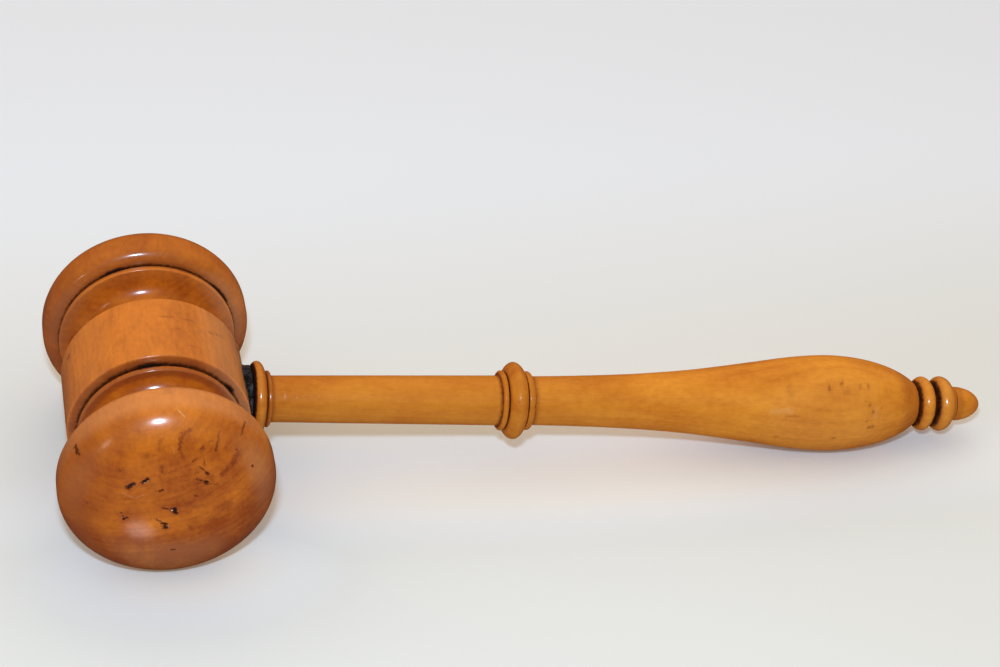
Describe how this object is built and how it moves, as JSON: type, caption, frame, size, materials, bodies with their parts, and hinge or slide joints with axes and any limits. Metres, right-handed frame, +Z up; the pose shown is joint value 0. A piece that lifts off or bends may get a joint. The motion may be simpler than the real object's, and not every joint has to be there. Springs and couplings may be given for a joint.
{
  "type": "gavel",
  "caption": "Turned wooden gavel: mallet head with a plain barrel, coved necks and domed knobs, glued to a beaded handle with a swelled grip and an acorn tip.",
  "frame": {"origin": "on the table under the middle of the whole gavel, with the gavel lying at rest", "axes": "+Z up, +X from the head towards the tip of the handle, Y along the axis of the head"},
  "size_m": [0.2554, 0.0896, 0.054],
  "materials": {
    "head_wood": "polished, deep honey brown boxwood",
    "handle_wood": "worn satin polish, paler honey boxwood",
    "old_glue": "hardened, dirty and lumpy"
  },
  "bodies": {
    "root": {"head": "head_wood", "handle": "handle_wood", "joint_glue": "old_glue"}
  },
  "joints": []
}
